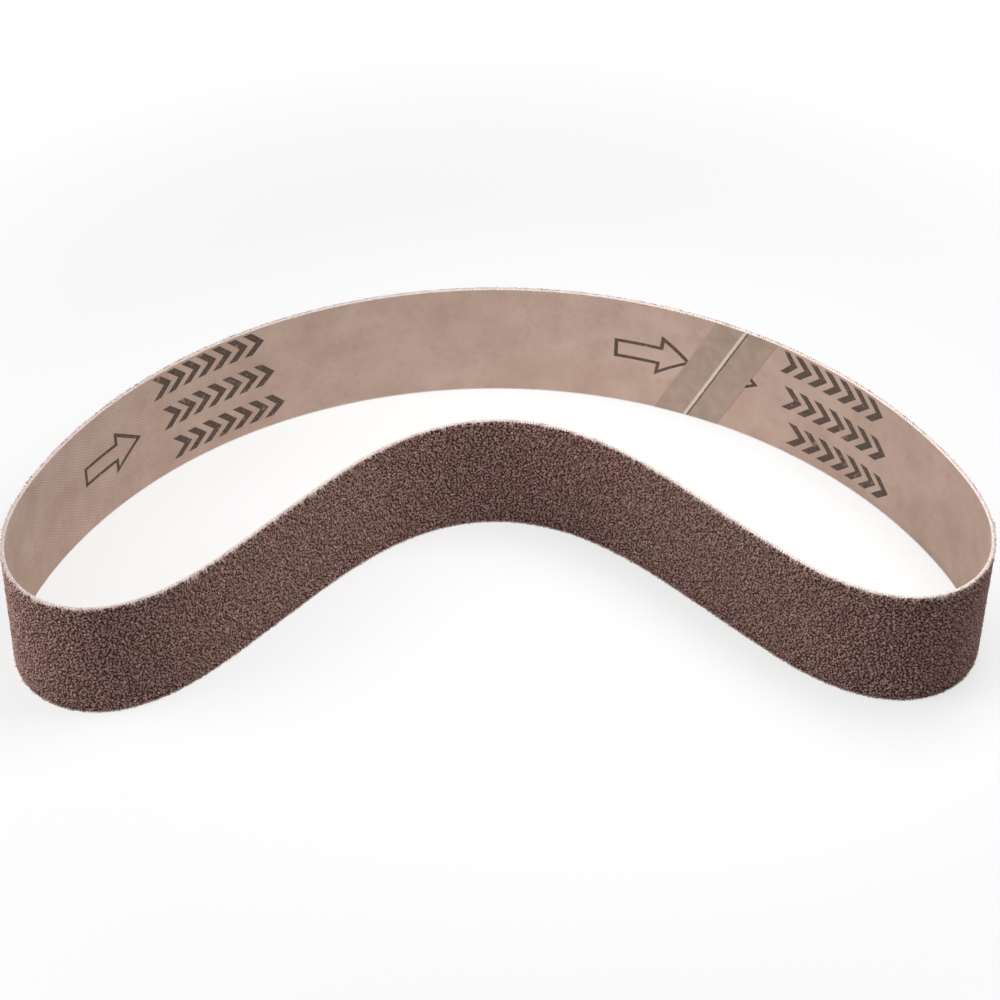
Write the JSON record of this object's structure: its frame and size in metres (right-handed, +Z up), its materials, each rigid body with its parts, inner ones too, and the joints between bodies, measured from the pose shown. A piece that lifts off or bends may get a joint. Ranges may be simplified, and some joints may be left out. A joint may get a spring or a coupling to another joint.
{
  "type": "sanding belt",
  "caption": "Narrow cloth-backed sanding belt, a spliced endless loop that stands on its edge with its front run bowed inwards.",
  "frame": {"origin": "on the floor, under the middle of the loop's bounding box", "axes": "+X along the loop's longest extent, to the right seen from its hollow front run; +Y towards the back run; +Z up, across the belt's width"},
  "size_m": [0.2802, 0.1442, 0.04],
  "materials": {
    "abrasive_grit": "coarse reddish-brown grain set in resin, dry and matt",
    "cloth_backing": "tan twill backing stiffened with resin, cream and frayed along the cut edges",
    "splice_film": "olive-grey film tape, satin"
  },
  "bodies": {
    "root": {"abrasive_strip": "abrasive_grit", "splice_tape": "splice_film"}
  },
  "joints": []
}
